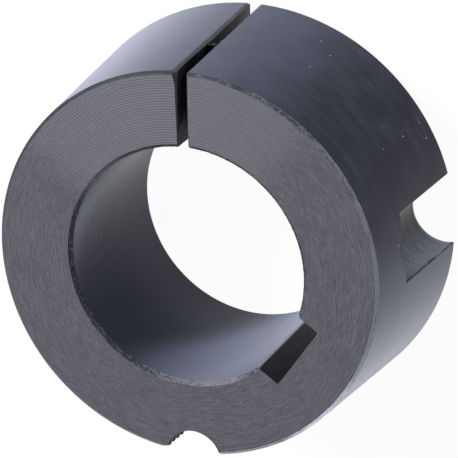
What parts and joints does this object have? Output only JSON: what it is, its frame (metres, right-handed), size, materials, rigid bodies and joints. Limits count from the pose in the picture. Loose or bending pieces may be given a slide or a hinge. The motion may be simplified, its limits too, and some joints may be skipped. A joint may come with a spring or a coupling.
{
  "type": "split taper bushing",
  "caption": "Short split ring with a tapered outside, a keyed bore and half-holes in its rim, which clamps a hub on a shaft.",
  "frame": {"origin": "centre of the large end face, on the bore axis", "axes": "+Z along the bore axis from the large end to the small end, +X through the middle of the keyway"},
  "size_m": [0.0698, 0.0698, 0.032],
  "materials": {
    "blackened_iron": "blackened, as turned"
  },
  "bodies": {
    "root": {"taper_bushing": "blackened_iron"}
  },
  "joints": []
}
